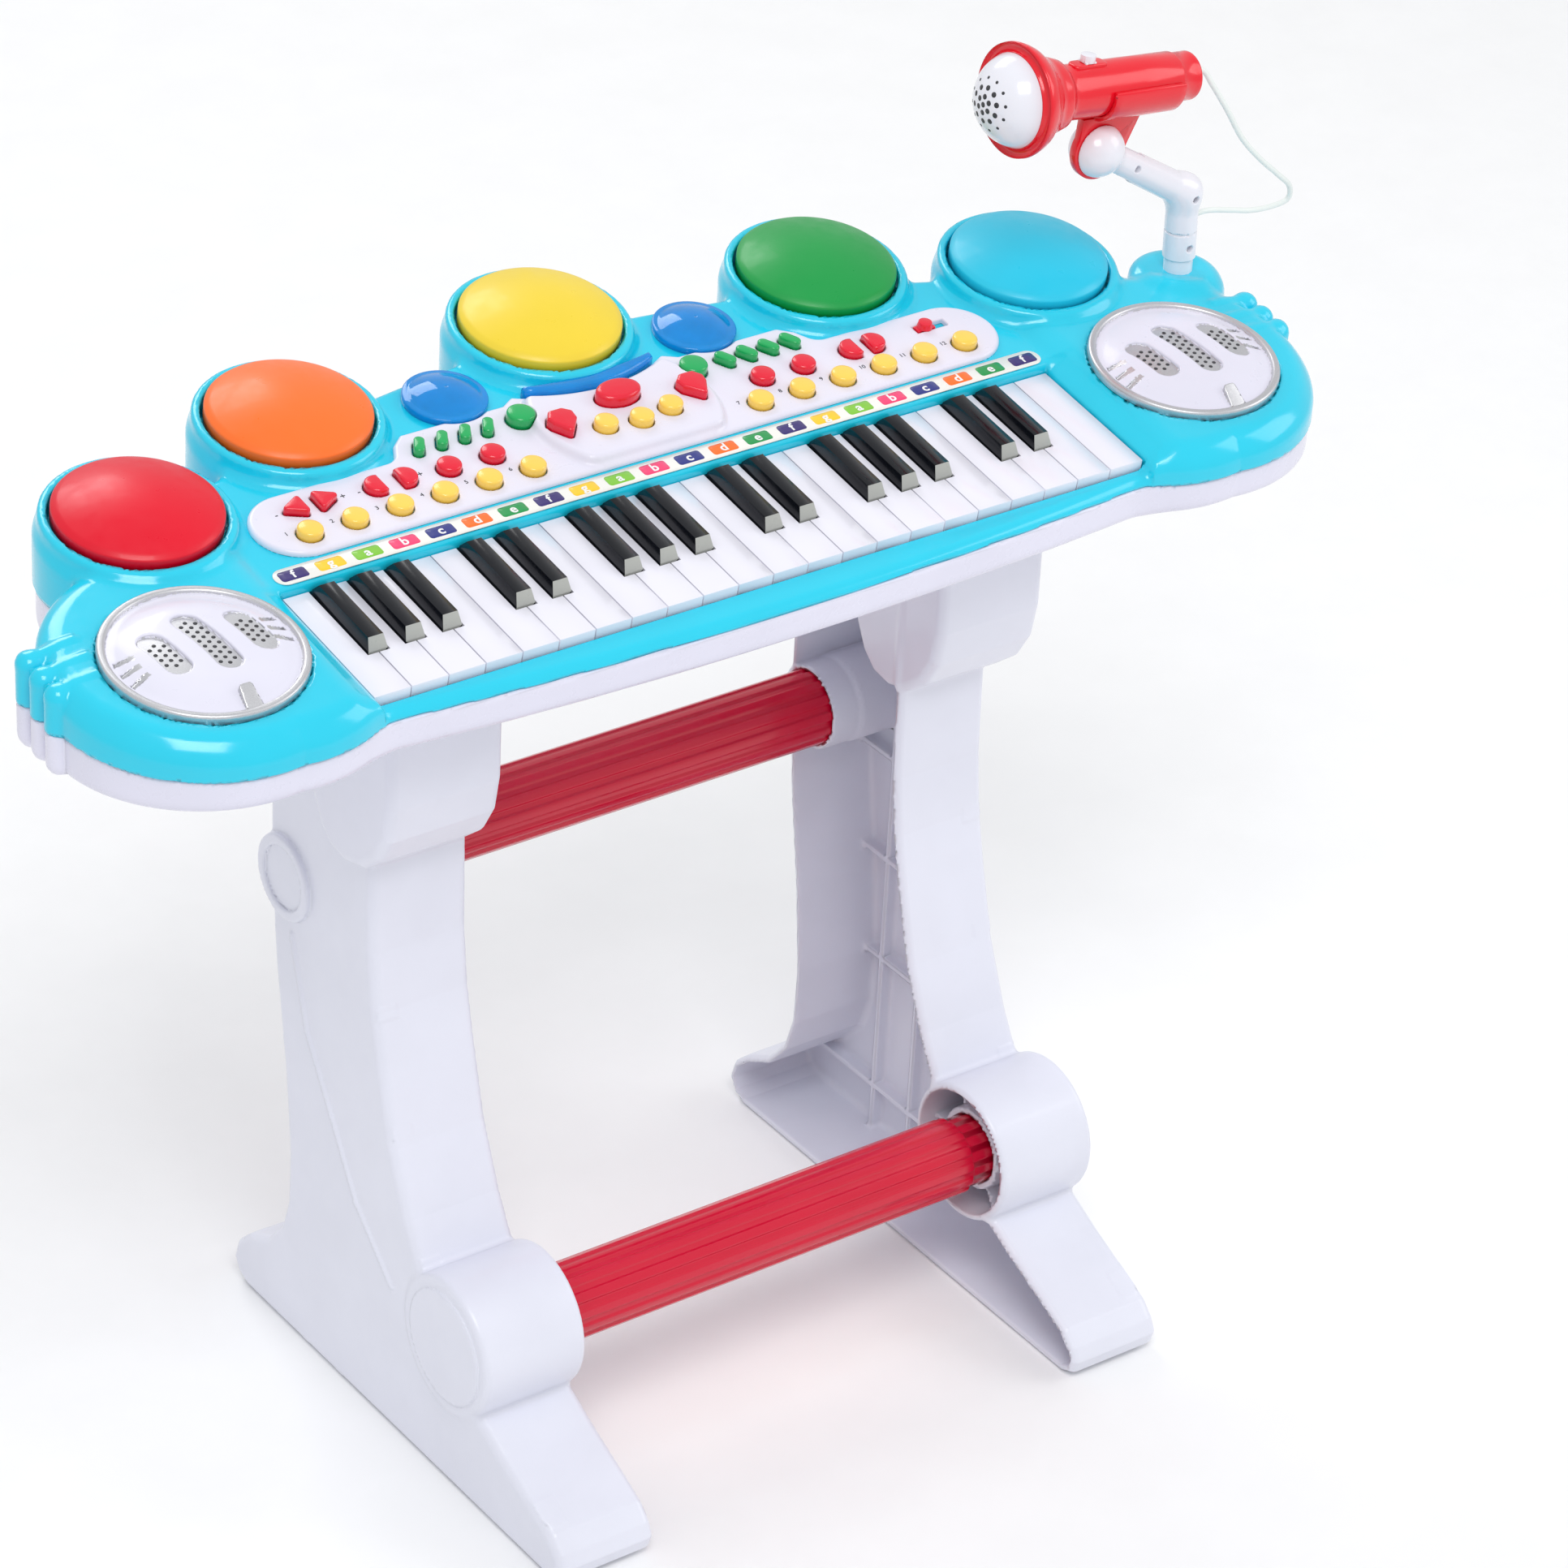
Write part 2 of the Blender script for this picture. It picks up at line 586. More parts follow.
def make_legs():
    points, quads, normals = net(leg_field, (104, -96, -371), (158, 156, -22), 1.45)
    build("leg_right", from_case(points), quads, leg_white, "keyboard", "stand_legs", normals)
    flip = np.array([-1, 1, 1])
    build("leg_left", from_case(points * flip), quads[:, ::-1], leg_white, "keyboard", None,
          normals * flip)


def fluted_bar(axis, rib_end, tube_end, ribs=14, inner=13.0):
    """A tube with rounded ribs that fade out before its plain ends."""
    turn = np.linspace(0, 2 * math.pi, ribs * 24, endpoint=False)
    phase = np.mod(turn * ribs / (2 * math.pi) + 0.5, 1) - 0.5
    ridge = np.clip((0.38 - np.abs(phase)) * 6, 0, 1)
    ridge = ridge * ridge * (3 - 2 * ridge)
    tip = np.sqrt(np.clip(1 - (phase / 0.37) ** 2, 0, 1)) * 2.6

    def hoop(x, r):
        return np.stack([np.full(len(turn), x), axis[0] - r * np.sin(turn), axis[1] + r * np.cos(turn)], 1)

    loops = []
    stations = [-tube_end, -tube_end, -rib_end - 0.02, -rib_end, -rib_end + 0.5]
    stations += [-rib_end + 1 + k * 0.5 for k in range(12)]
    stations += [-rib_end * (11 - k) / 12 for k in range(11)]
    stations = stations + [-s for s in stations[::-1]]
    for k, x in enumerate(stations):
        if k in (0, len(stations) - 1):
            r = np.full(len(turn), inner)
        elif abs(x) > rib_end:
            r = np.full(len(turn), 15.0)
        else:
            fade = np.clip((rib_end - 2.2 - abs(x) + tip) / 1.6, 0, 1)
            r = 15.0 + 0.5 * min(1, (rib_end - abs(x)) * 2) + 0.95 * ridge * fade
        loops.append(hoop(x, r))
    loops.append(hoop(-tube_end, inner))
    return rings(loops, False, False)


def make_bars():
    points, faces = join([fluted_bar(LOW_BAR, 101, 132), fluted_bar(HIGH_BAR, 117, 141)])
    build("bars", from_case(points), faces, bar_red, "keyboard", "cross_bars")


# ---------- pads ----------
def make_pads():
    top, crown = 13.9, 7.2
    ball = (PAD_R ** 2 + crown ** 2) / (2 * crown)
    profile = [(0, 8.0), (PAD_R - 0.3, 8.0), (PAD_R, 8.4), (PAD_R, top - 0.6)]
    profile += arc(PAD_R - 1.3, top - 0.6, 1.3, 8, 62, 6)
    for r in np.linspace(PAD_R - 1.5, 0, 22):
        profile.append((r, top + 0.7 + math.sqrt(ball ** 2 - r ** 2) - (ball - crown)))
    for i, (x, y) in enumerate(PADS):
        stem = lathe([(0, 1.0), (6, 1.0), (6, 8.5), (0, 8.5)], (x, y), 32)
        points, faces = join([lathe(profile, (x, y), 128), stem])
        node = f"drum_pad_{i + 1}"
        build(f"pad_{i + 1}", from_deck(points), faces, PAD_PAINT[i], node, node)


# ---------- buttons ----------
def round_cap(x, y, r, high):
    profile = [(0, 3.0), (r, 3.0), (r, high - 1.2)] + arc(r - 1.2, high - 1.2, 1.2, 15, 80, 5)
    profile += [(r * 0.6, high + 0.25), (r * 0.3, high + 0.38), (0, high + 0.4)]
    return lathe(profile, (x, y), 40)


def turned(outline, angle, x, y):
    """An outline turned by angle in degrees and set down at x, y."""
    c, s = math.cos(math.radians(angle)), math.sin(math.radians(angle))
    o = np.asarray(outline, float)
    return np.stack([x + o[:, 0] * c - o[:, 1] * s, y + o[:, 0] * s + o[:, 1] * c], 1)


def rounded(corners, radius, steps=6):
    """An outline with its corners replaced by arcs of the given radius."""
    pts = [Vector(c) for c in corners]
    out = []
    for i, p in enumerate(pts):
        before = (pts[i - 1] - p).normalized()
        after = (pts[(i + 1) % len(pts)] - p).normalized()
        half = math.acos(max(-1, min(1, before.dot(after)))) / 2
        centre = p + (before + after).normalized() * (radius / math.sin(half))
        a = p + before * (radius / math.tan(half)) - centre
        b = p + after * (radius / math.tan(half)) - centre
        start = math.atan2(a.y, a.x)
        sweep = (math.atan2(b.y, b.x) - start + math.pi) % (2 * math.pi) - math.pi
        for k in range(steps + 1):
            t = start + sweep * k / steps
            out.append((centre.x + radius * math.cos(t), centre.y + radius * math.sin(t)))
    return out


ARROW = rounded([(-5.8, 0), (4.6, -6.0), (4.6, 6.0)], 1.2)
MOON = [(5.4 * math.cos(t), 5.4 * math.sin(t)) for t in np.linspace(-0.42, math.pi + 0.42, 20)]
MOONS = ((-116.6, 90), (-104.4, 270), (109.4, 90), (119.4, 270))
PILL = [(2.2 * math.cos(t), 2.2 * math.sin(t) + (2.6 if math.sin(t) >= 0 else -2.6))
        for t in np.linspace(0.01, 2 * math.pi - 0.01, 28)]


def tear_outline(s):
    tear = [(-6.2 * s, 3), (-3 * s, 6.2), (3.4 * s, 6.2), (6.2 * s, 2), (5.6 * s, -1.5), (s, -9.4),
            (-5.6 * s, -1.5)]
    return rounded(tear[::s], 1.4)


def make_buttons():
    reds = [round_cap(s * x, RED_Y, 5.0, 10.4) for s in (-1, 1) for x in RED_X]
    for x, a in ARROWS:
        reds.append(cap_from(turned(ARROW, a, x, ARROW_Y), 3, 10.0, 1.0))
    for x, a in MOONS:
        reds.append(cap_from(turned(MOON, a, x, MOON_Y), 3, 10.0, 1.0))
    around = np.linspace(0, 2 * math.pi, 48, endpoint=False)
    oval = [(STOP_SIZE[0] * math.cos(t), STOP_SIZE[1] * math.sin(t)) for t in around]
    reds.append(cap_from(turned(oval, 0, 0, STOP_Y), 3, 15.4, 1.6))
    for s in (-1, 1):
        reds.append(cap_from(turned(tear_outline(s), 0, s * TEAR[0], TEAR[1]), 3, 14.8, 1.3))
    points, faces = join(reds)
    build("buttons_red", from_deck(points), faces, button_red, "red_buttons", "red_buttons")
    row = [BUTTON_X + k * BUTTON_PITCH for k in range(6)]
    yellows = [round_cap(s * x, BUTTON_Y, 5.2, 10.4) for s in (-1, 1) for x in row]
    yellows += [round_cap(x, y, 4.9, 14.3) for x, y in ((-15.4, 97), (0, 94.6), (15.4, 97))]
    points, faces = join(yellows)
    build("buttons_yellow", from_deck(points), faces, button_yellow, "yellow_buttons", "yellow_buttons")
    greens = [round_cap(s * GREEN_BUTTON[0], GREEN_BUTTON[1], 5.8, 11.4) for s in (-1, 1)]
    for k in range(4):
        for s in (-1, 1):
            pill = turned(PILL, s * 30, s * (PILL_X + k * PILL_PITCH), PILL_Y)
            greens.append(cap_from(pill, 3, 10.4, 0.9))
    points, faces = join(greens)
    build("buttons_green", from_deck(points), faces, button_green, "green_buttons", "green_buttons")


# ---------- speakers and lamps ----------
GRILLE_SLOTS = ((-16.0, 13.0, 2), (2.5, 18.0, 4), (21.0, 13.0, 2))


def grille_slope(r, z):
    """Distance to the cone that carries the raised middle of a grille."""
    return (r - 35.6 + 1.63 * (z - 8.9)) / 1.91


def grille_slot(x, y, cx, length):
    return np.hypot(x - cx + 0.12 * y + 0.004 * y * y, np.maximum(np.abs(y - 1) - length + 5.2, 0)) - 5.2


def grille_notches(x, y):
    """Three short radial cuts at the left and at the right."""
    d = np.full(np.shape(x), 1e3)
    for side in (0, math.pi):
        for k in (-1, 0, 1):
            a = side + 0.2 * k
            qx, qy = x * math.cos(a) + y * math.sin(a), -x * math.sin(a) + y * math.cos(a)
            d = np.minimum(d, np.maximum(np.abs(qx - 31.0) - 3.8, np.abs(qy) - 1.1))
    return d


def grille_tab(x, y):
    return both(np.abs(x - 0.6) - 3.3 + 0.1 * (y + 32), np.abs(y + 32.0) - 4.6, 1.2)


def grille_field(x, y, z):
    r = np.hypot(x, y)
    disc = both(r - 39.7, slab(z, 6.8, 9.2), 1.0)
    rim = both(np.abs(r - 38.1) - 1.7, slab(z, 6.8, 10.8), 1.2)
    slope = grille_slope(r, z)
    dome = both(slope, z - (14.6 - r * r / 600), 4.0)
    body = either(np.minimum(disc, rim), np.maximum(dome, 6.8 - z), 1.2)
    for cx, length, _ in GRILLE_SLOTS:
        pocket = np.maximum(grille_slot(x, y, cx, length), 13.1 - r * r / 600 - z)
        body = both(body, -pocket, 0.7)
    body = both(body, -np.maximum(grille_notches(x, y), -slope - 1.2), 0.3)
    tab = both(grille_tab(x, y), slope - 1.0, 0.5)
    return np.minimum(body, np.maximum(tab, 8.0 - z))


def make_grilles():
    shape = keep(net(grille_field, (-40, -40, 6), (40, 40, 16), 0.72), lambda m: m[:, 2] > 7.0)
    parts, perforated, facing, painted = [], [], [], []
    middle = shape[0][shape[1]].mean(1)
    x, y, z = middle.T
    r = np.hypot(x, y)
    floor = np.min([grille_slot(x, y, cx, length) for cx, length, _ in GRILLE_SLOTS], 0)
    paint = (r > 36.2) | ((floor < -0.2) & (z < 13.5 - r * r / 600) & (z > 9))
    paint |= (grille_notches(x, y) < 0.1) & (grille_slope(r, z) < -0.5)
    paint |= (grille_tab(x, y) < 0.2) & (z > 9.2)
    for s in (-1, 1):
        parts.append((shape[0] + [s * SPEAKER[0], SPEAKER[1], 0], shape[1].tolist()))
        facing.append(shape[2])
        painted.append(paint)
        for cx, _, rows in GRILLE_SLOTS:
            for k in range(-rows, rows + 1):
                for side in (-1, 0, 1):
                    y = k * 3.4 + (1.7 if side else 0)
                    if side and k == rows:
                        continue
                    x = cx - 0.12 * y - 0.004 * y * y + side * 3.0
                    z = 13.15 - (x * x + y * y) / 600
                    dot = lathe([(0, z - 0.3), (0.85, z - 0.3), (0.85, z + 0.03), (0, z + 0.03)],
                                (s * SPEAKER[0] + x, SPEAKER[1] + 1 + y), 12)
                    perforated.append(dot)
    points, faces = join(parts)
    grille = build("grilles", from_deck(points), faces, grille_white, "keyboard", "speaker_grilles",
                   tilted(np.concatenate(facing)))
    grille.data.materials.append(silver)
    grille.data.polygons.foreach_set("material_index", np.concatenate(painted).astype(int).tolist())
    points, faces = join(perforated)
    build("grille_holes", from_deck(points), faces, hole_dark, "keyboard")


# ---------- control panel ----------
def panel_plan(x, y):
    side = np.abs(x)
    box = np.maximum(side - 156.4, np.abs(y - 97.3) - 18.9)
    d = np.minimum(circle(side, y, 156.4, 97.3, 18.9), box)
    back = ((-104, 110), (-96, 125), (-90, 130), (-42, 130), (-31, 136.6),
            (31, 136.6), (42, 130), (90, 130), (96, 125), (104, 110))
    d = either(d, polygon(x, y, back), 3)
    d = both(d, -circle(x, y, 0, 194.5, 70.6), 1)
    return both(d, -circle(side, y, LAMP[0], LAMP[1], 17.5), 1)


def panel_holes(x, y):
    side = np.abs(x)
    d = np.full(np.shape(x), 1e3)
    rounds = [(BUTTON_X + k * BUTTON_PITCH, BUTTON_Y, 5.6) for k in range(6)]
    rounds += [(cx, RED_Y, 5.4) for cx in RED_X]
    rounds += [(*GREEN_BUTTON, 6.2), (15.4, 97, 5.3), (0, 94.6, 5.3)]
    for cx, cy, r in rounds:
        d = np.minimum(d, circle(side, y, cx, cy, r))
    for k in range(4):
        pill = turned(PILL, 30, PILL_X + k * PILL_PITCH, PILL_Y)
        d = np.minimum(d, polygon(side, y, pill) - 0.4)
    for cx, a in ARROWS:
        d = np.minimum(d, polygon(x, y, turned(ARROW, a, cx, ARROW_Y)) - 0.4)
    for cx, a in MOONS:
        d = np.minimum(d, polygon(x, y, turned(MOON, a, cx, MOON_Y)) - 0.4)
    d = np.minimum(d, np.hypot(x / STOP_SIZE[0], (y - STOP_Y) / STOP_SIZE[1]) * 8 - 8.35)
    d = np.minimum(d, polygon(side, y, turned(tear_outline(1), 0, *TEAR)) - 0.4)
    return np.minimum(d, np.maximum(np.abs(x - 150.1) - 7.7, np.abs(y - 105.2) - 2.3))


def panel_field(x, y, z):
    plan = panel_plan(x, y)
    body = both(plan, z - 7, 1.8)
    stage = both(both(circle(x, y, 0, 106, 40), plan + 2.2, 3), z - 10.6, 3)
    body = either(body, stage, 2)
    body = both(body, -panel_holes(x, y), 0.5)
    return np.maximum(body, 4.3 - z)


def make_panel():
    shape = keep(net(panel_field, (-177, 76, 3), (177, 138, 12), 0.68), lambda m: m[:, 2] > 4.5)
    build("panel", from_deck(shape[0]), shape[1], pearl, "keyboard", "control_panel",
          tilted(shape[2]))


def make_lamps():
    parts = []
    for s in (-1, 1):
        at = (s * LAMP[0], LAMP[1])
        profile = [(14.6, 4.4), (17.3, 4.6), (17.3, 6.8)] + arc(16.5, 6.8, 0.8, 20, 80, 4) + [(15.2, 7.7)]
        profile += [(r, 7.6 + math.sqrt(29.5 ** 2 - r ** 2) - 25.3) for r in np.linspace(14.9, 0, 14)]
        profile += [(r, 6.2 + math.sqrt(29.5 ** 2 - r ** 2) - 25.3) for r in np.linspace(0, 13.4, 12)]
        parts.append(lathe(profile, at, 72))
    loops = []
    for inset, z in ((0, 4.6), (0, 8.2), (0.3, 9.1), (1.0, 9.7), (2.0, 9.9)):
        t = np.linspace(-0.45, 0.45, 28) * (1 - inset / 34)
        front = np.stack([(69.9 - inset) * np.sin(t), 194.5 - (69.9 - inset) * np.cos(t)], 1)
        t = np.linspace(1, -1, 28) * (1 - inset / 34)
        back = np.stack([30.6 * t, 131.2 - 0.5 * inset + 3.2 * t * t], 1)
        loops.append(np.column_stack([np.concatenate([front, back]), np.full(56, z)]))
    lens = [rings(loops)]
    points, faces = join(parts + lens)
    build("lamp_lens", from_deck(points), faces, lamp_blue, "keyboard", "lamp_lenses")
    bulb = [(0, 4.3), (14.2, 4.3), (14.2, 4.9), (3.6, 5.2), (3.0, 5.6), (2.6, 8.0), (1.6, 9.4), (0, 9.9)]
    points, faces = join([lathe(bulb, (s * LAMP[0], LAMP[1]), 40) for s in (-1, 1)])
    build("lamp_bulbs", from_deck(points), faces, lamp_core, "keyboard")


# ---------- labels and print ----------
def letters(text, size, x, y, z, parts, weight=0.0):
    """Flat letters on the deck, centred on a deck-frame point."""
    curve = bpy.data.curves.new("letter", "FONT")
    curve.body = text
    curve.size = size
    curve.align_x = "CENTER"
    curve.align_y = "CENTER"
    curve.extrude = 0.05
    curve.offset = weight
    holder = bpy.data.objects.new("letter", curve)
    bpy.context.scene.collection.objects.link(holder)
    bpy.context.view_layer.update()
    mesh = holder.to_mesh()
    points = np.array([v.co[:] for v in mesh.vertices]) + [x, y, z]
    parts.append((points, [list(p.vertices) for p in mesh.polygons]))
    holder.to_mesh_clear()
    bpy.data.objects.remove(holder)


def make_labels():
    colors = {"f": (0.035, 0.02, 0.16), "g": (0.95, 0.60, 0.02), "a": (0.22, 0.56, 0.04),
              "b": (0.86, 0.05, 0.17), "c": (0.02, 0.03, 0.22), "d": (0.95, 0.16, 0.01),
              "e": (0.01, 0.30, 0.07)}
    plates, notes = {k: [] for k in colors}, []
    order = "fgabcde"
    for i in range(22):
        x = (i - 10.5) * PITCH
        note = order[i % 7]
        shape = rounded([(-6.0, -3.0), (6.0, -3.0), (6.0, 3.0), (-6.0, 3.0)], 1.3, 4)
        plates[note].append(cap_from(turned(shape, 0, x, 72.0), 4.7, 5.02, 0.06, 2, 0))
        letters(note, 6.4, x, 72.0, 5.1, notes, 0.14)
    for note, color in colors.items():
        points, faces = join(plates[note])
        paint = plastic(f"label_{note}", color, 0.35, 0.1)
        build(f"label_{note}", from_deck(points), faces, paint, "keyboard")
    points, faces = join(notes)
    paint = plastic("label_print", (0.85, 0.85, 0.85), 0.4, 0.1)
    build("label_notes", from_deck(points), faces, paint, "keyboard")
    marks = []
    for s in (-1, 1):
        for k in range(6):
            number = k + 7 if s > 0 else 6 - k
            letters(str(number), 3.0, s * (BUTTON_X + k * BUTTON_PITCH) - 8.4, 92.4, 7.07, marks)
    signs = (("-", -161.5, 104.3), ("+", -131.6, 104.3), ("-", -124.6, 104.2), ("+", -96.6, 104.2))
    for text, x, y in signs:
        letters(text, 4.4, x, y, 7.07, marks)
    points, faces = join(marks)
    build("panel_print", from_deck(points), faces, print_ink, "keyboard")
    shape = rounded([(-181.5, 67.2), (181.5, 67.2), (181.5, 76.8), (-181.5, 76.8)], 4.6, 8)
    points, faces = cap_from(shape, 4.6, 4.93, 0.1, 2, 0)
    build("note_strip", from_deck(points), faces, strip_cream, "keyboard")


# ---------- microphone ----------
def arm_field(x, y, z):
    post = rod(x, y, z, (MAST[0], MAST[1], 28), BEND, 7.0, 6.8)
    neck = both(circle(x, y, MAST[0], MAST[1], 6.15), slab(z, 4.2, 40), 0.5)
    post = np.minimum(np.maximum(post, 28.4 - z), neck)
    arm = either(post, rod(x, y, z, BEND, KNUCKLE, 6.8, 6.2), 5)
    ball = np.sqrt((x - KNUCKLE[0]) ** 2 + (y - KNUCKLE[1]) ** 2 + (z - KNUCKLE[2]) ** 2) - 11.6
    arm = either(arm, ball, 1.5)
    slot = np.maximum(circle(x, z, KNUCKLE[0], KNUCKLE[2], 25.4), np.abs(y - KNUCKLE[1]) - 2.2)
    arm = both(arm, -slot, 0.5)
    for px, pz in ((KNUCKLE[0] + 17.8, KNUCKLE[2] - 11), (MAST[0], 57.0), (MAST[0], 34.0)):
        hole = np.maximum(circle(x, z, px, pz, 1.5), y - (KNUCKLE[1] - 3.6))
        arm = both(arm, -hole, 0.4)
    groove = np.maximum(np.abs(z - 40.5) - 0.35, 6.5 - np.hypot(x - MAST[0], y - MAST[1]))
    return both(arm, -groove, 0.2)


def make_arm():
    points, quads, normals = net(arm_field, (210, 81, 3), (280, 106, 101), 0.62)
    build("arm", from_case(points), quads, mic_white, "mic_arm", "mic_arm", normals)


def make_microphone():
    bell = [(0, 4), (18.6, 4), (18.9, 1.0), (19.4, -0.8)] + arc(21.6, -0.6, 1.9, 170, 10, 8)
    bell += [(23.6, 1.6), (23.2, 3.2), (22.4, 5.2)]
    bell += [(22.0 - 6.4 * math.sin(t), 6.4 + 11.2 * t / 1.57) for t in np.linspace(0.1, 1.5, 9)]
    bell += [(15.0, 19.0), (14.6, 20.6), (13.2, 21.4), (12.6, 22.6), (12.0, 23.0), (11.6, 24.0)]
    bell += [(11.45, 26)]
    bell += [(11.4, 44), (11.2, 60), (11.0, 80.5), (10.7, 81.2), (10.2, 81.8), (10.15, 88.6)]
    bell += arc(8.7, 89.8, 1.5, 10, 80, 5) + [(0, 91.4)]
    shape = lathe(bell, (0, 0), 96)
    pad = rounded([(-3.6, 27.5), (3.6, 27.5), (3.6, 44.5), (-3.6, 44.5)], 2.4, 5)
    plate = cap_from(pad, 9.8, 12.2, 0.8)
    plate = (np.stack([-plate[0][:, 2], plate[0][:, 0], plate[0][:, 1]], 1), plate[1])
    points, faces = join([shape, plate])
    build("mic_body", from_mic(points), faces, mic_red, "microphone", "microphone")
    radius, centre = 20.0, 4.4
    ball = [(19.0, 3.6), (19.4, 1.6)]
    for t in np.linspace(0.22, math.pi / 2, 26):
        ball.append((radius * math.cos(t), centre - radius * math.sin(t)))
    points, faces = lathe([(0, 3.6)] + ball, (0, 0), 96)
    build("mic_ball", from_mic(points), faces, mic_white, "microphone", None)
    holes = []
    for tilt, count in ((0.0, 1), (0.17, 6), (0.36, 10), (0.56, 12)):
        for k in range(count):
            a = 2 * math.pi * (k + 0.5 * (count % 4 == 0)) / count
            size = 1.15 if tilt < 0.5 else 0.7
            turn = np.array(Matrix.Rotation(a, 3, "Z") @ Matrix.Rotation(tilt, 3, "Y"))
            pin = lathe([(0, radius - 0.4), (size, radius - 0.4), (size, radius + 0.04),
                         (0, radius + 0.05)], (0, 0), 14)
            shifted = (pin[0] @ turn.T) * [1, 1, -1] + [0, 0, centre]
            holes.append((shifted, [f[::-1] for f in pin[1]]))
    points, faces = join(holes)
    build("mic_holes", from_mic(points), faces, hole_dark, "microphone")


CORD = ((267.7, 95.5, 113.3), (277.5, 95.5, 110.6), (283, 94.5, 103), (291, 92.5, 90), (298.5, 91, 77),
        (308, 89.5, 66), (319.5, 89.5, 55.6), (327, 90.5, 48.5), (328, 91.5, 42), (322, 93, 39.4),
        (311, 94.5, 39.2), (299, 96, 41.6), (288, 97, 43.6), (276.8, 96, 43.6))


def smooth_path(points, steps=8):
    """A Catmull-Rom line through the points."""
    p = np.asarray(points, float)
    p = np.concatenate([[2 * p[0] - p[1]], p, [2 * p[-1] - p[-2]]])
    out = []
    for i in range(1, len(p) - 2):
        for t in np.linspace(0, 1, steps, endpoint=False):
            a, b, c, d = p[i - 1:i + 3]
            square, cube = 2 * a - 5 * b + 4 * c - d, 3 * b - a - 3 * c + d
            out.append(0.5 * (2 * b + (c - a) * t + square * t ** 2 + cube * t ** 3))
    out.append(p[-2])
    return np.array(out)


def tube(path, radius, segments=16):
    """A round tube along a path, with closed ends."""
    loops = []
    side = np.array([0.0, 1.0, 0.0])
    for i, p in enumerate(path):
        ahead = path[min(i + 1, len(path) - 1)] - path[max(i - 1, 0)]
        ahead /= np.linalg.norm(ahead)
        side = side - ahead * (side @ ahead)
        side /= np.linalg.norm(side)
        up = np.cross(ahead, side)
        turn = np.linspace(0, 2 * math.pi, segments, endpoint=False)
        loops.append(p + radius * (np.outer(np.cos(turn), side) + np.outer(np.sin(turn), up)))
    return rings(loops)


def make_cord():
    path = smooth_path(CORD)
    points, faces = tube(path, 1.2)
    mesh = bpy.data.meshes.new("cord")
    mesh.from_pydata([tuple(p) for p in from_case(points)], [], faces)
    mesh.polygons.foreach_set("use_smooth", [True] * len(mesh.polygons))
    mesh.materials.append(cord_white)
    cord = bpy.data.objects.new("cord", mesh)
    bpy.context.scene.collection.objects.link(cord)
    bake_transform(cord)
    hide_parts("mic_cord")


# ---------- CAD nodes that keep their shape ----------
def dress(node, material, width=0.35, segments=2, angle=32):
    """A carried-over node gets its material and softened edges."""
    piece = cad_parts[node]
    piece.data.materials.clear()
    piece.data.materials.append(material)
    piece.data.polygons.foreach_set("material_index", [0] * len(piece.data.polygons))
    piece.data.polygons.foreach_set("use_smooth", [True] * len(piece.data.polygons))
    weld = piece.modifiers.new("weld", "WELD")
    weld.merge_threshold = 1e-6
    if width:
        bevel = piece.modifiers.new("soft_edges", "BEVEL")
        bevel.width = width * MM
        bevel.segments = segments
        bevel.limit_method = "ANGLE"
        bevel.angle_limit = math.radians(angle)
        bevel.harden_normals = True
        bevel.use_clamp_overlap = True
    return piece


def dress_nodes():
    for i in range(1, 23):
        dress(f"white_key_{i:02d}", key_white, 0.5, 3)
    for i in range(1, 16):
        key = dress(f"black_key_{i:02d}", key_black, 0.6, 3)
        key.data.materials.append(key_front)
        x = (BLACK_AT[i - 1] - 11) * PITCH
        for face in key.data.polygons:
            if face.normal.y < -0.6 and face.center.z > from_deck([(x, 24, 0.6)])[0][2] - 0.004:
                face.material_index = 1
    dress("power_switch", button_red, 0.4, 2)
    dress("electronics", circuit, 0.15, 1)
    dress("battery_door", shell_white, 0.35, 2)
    dress("mic_clip", mic_red, 0.4, 2)
    dress("mic_switch", mic_white, 0.5, 3)


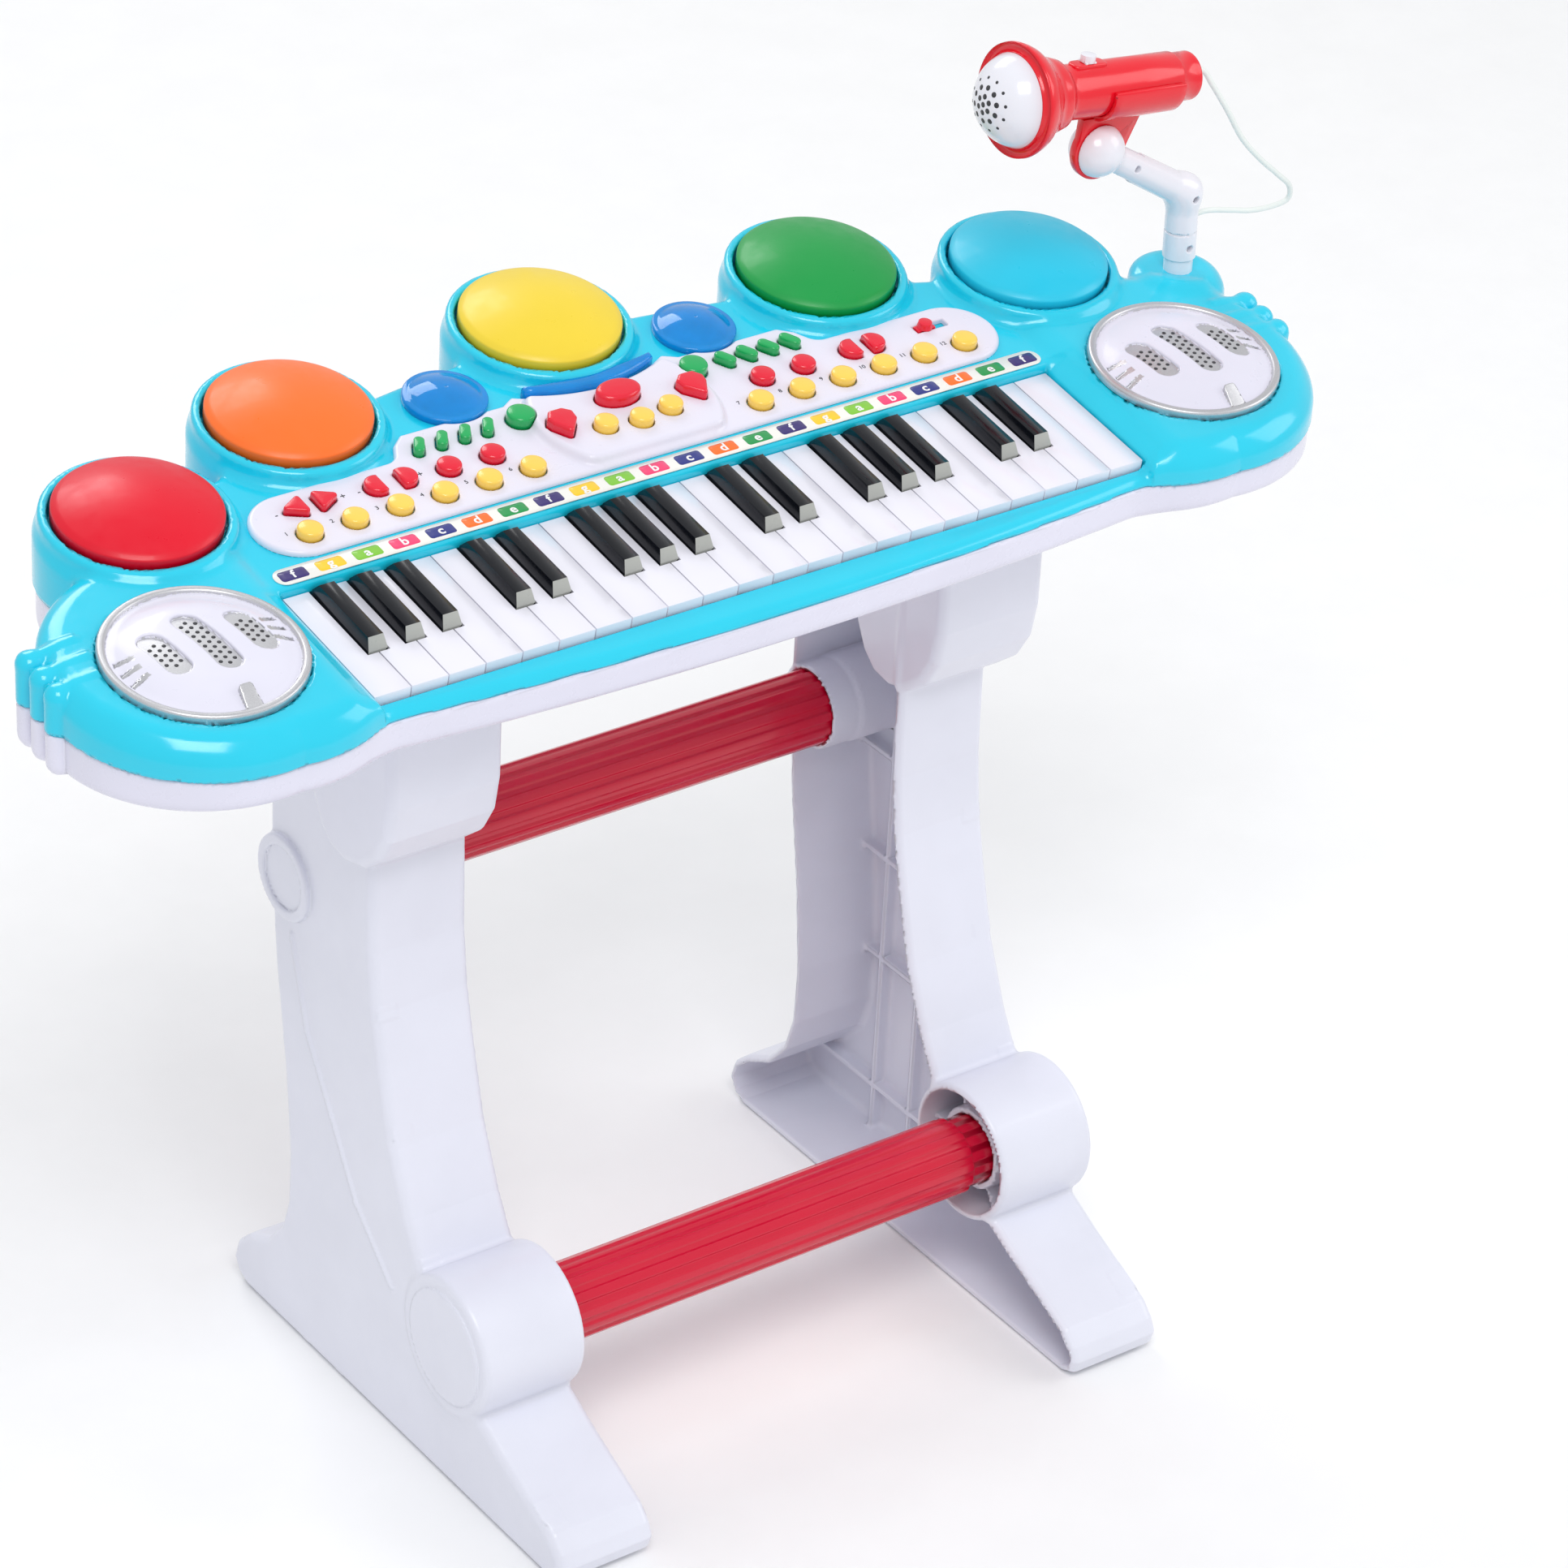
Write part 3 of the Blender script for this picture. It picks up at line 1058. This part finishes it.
# ---------- studio ----------
def make_studio():
    floor = bpy.data.meshes.new("floor")
    floor.from_pydata([(-6, -6, 0), (6, -6, 0), (6, 6, 0), (-6, 6, 0)], [], [(0, 1, 2, 3)])
    floor.materials.append(plastic("floor_paper", (0.93, 0.93, 0.93), 0.7, 0.05, 300, 0.01, coat=0.0))
    ground = bpy.data.objects.new("floor", floor)
    bpy.context.scene.collection.objects.link(ground)
    world = bpy.data.worlds.new("studio")
    world.use_nodes = True
    world.node_tree.nodes["Background"].inputs["Color"].default_value = (0.97, 0.98, 1.0, 1)
    world.node_tree.nodes["Background"].inputs["Strength"].default_value = 0.70
    bpy.context.scene.world = world
    for name, place, size, power in (
        ("key", (-0.7, -1.2, 2.3), 1.1, 23),
        ("fill", (1.9, -0.9, 1.4), 1.2, 9),
        ("rim", (0.3, 1.9, 1.9), 1.0, 12),
    ):
        lamp = bpy.data.lights.new(name, "AREA")
        lamp.energy = power
        lamp.size = size
        light = bpy.data.objects.new(name, lamp)
        light.location = place
        aim = Vector((0, 0.05, 0.3)) - Vector(place)
        light.rotation_mode = "QUATERNION"
        light.rotation_quaternion = aim.to_track_quat("-Z", "Y")
        bpy.context.scene.collection.objects.link(light)
    bpy.context.scene.view_settings.view_transform = "Standard"


CAMERA_AT = (-1.2033, -1.6560, 1.4949)
LENS_SHIFT = (-0.001242, -0.000052)


def make_camera():
    data = bpy.data.cameras.new("camera")
    data.lens = 137.0
    data.sensor_width = 36.0
    data.clip_end = 50
    data.shift_x, data.shift_y = LENS_SHIFT
    camera = bpy.data.objects.new("camera", data)
    azimuth, elevation, roll = math.radians(-37.17), math.radians(31.32), math.radians(3.12)
    turn = Matrix.Rotation(azimuth, 4, "Z") @ Matrix.Rotation(math.pi / 2 - elevation, 4, "X")
    camera.matrix_world = Matrix.Translation(CAMERA_AT) @ turn @ Matrix.Rotation(roll, 4, "Z")
    bpy.context.scene.collection.objects.link(camera)
    bpy.context.scene.camera = camera


make_camera()
make_studio()
make_cord()
make_case()
make_legs()
make_bars()
make_pads()
make_buttons()
make_grilles()
make_lamps()
make_panel()
make_labels()
make_arm()
make_microphone()
dress_nodes()
